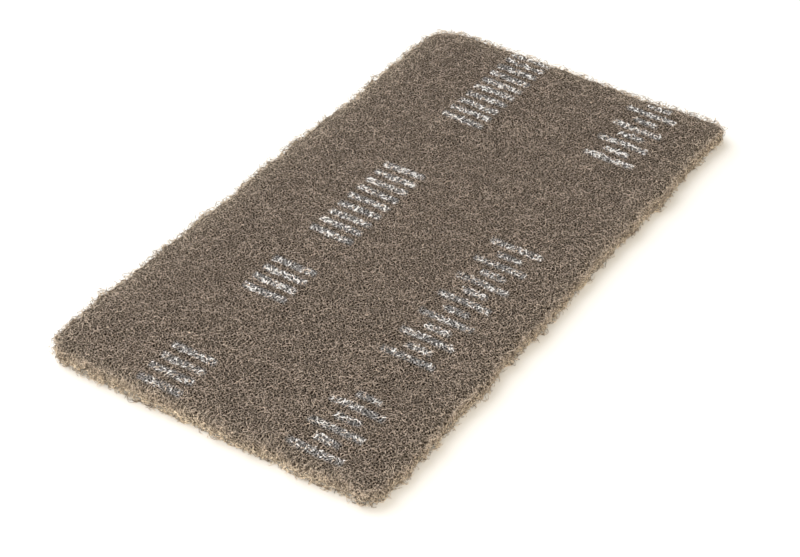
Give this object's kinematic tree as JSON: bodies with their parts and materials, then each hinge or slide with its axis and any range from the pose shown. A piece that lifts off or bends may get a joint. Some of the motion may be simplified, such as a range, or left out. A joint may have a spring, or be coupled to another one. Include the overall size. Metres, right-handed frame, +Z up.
{
  "type": "non-woven abrasive pad",
  "caption": "Thin rectangular hand pad of springy bonded fibre web for scuffing and fine finishing, lying flat.",
  "frame": {"origin": "middle of the pad's outline, on the flat underside that it rests on", "axes": "+X along the pad, +Y across it, +Z up through its thickness"},
  "size_m": [0.2306, 0.1158, 0.0058],
  "materials": {
    "bonded_web": "matt grey-brown curly fibre web with paler, fuzzy cut edges"
  },
  "bodies": {
    "root": {"abrasive_pad": "bonded_web"}
  },
  "joints": []
}
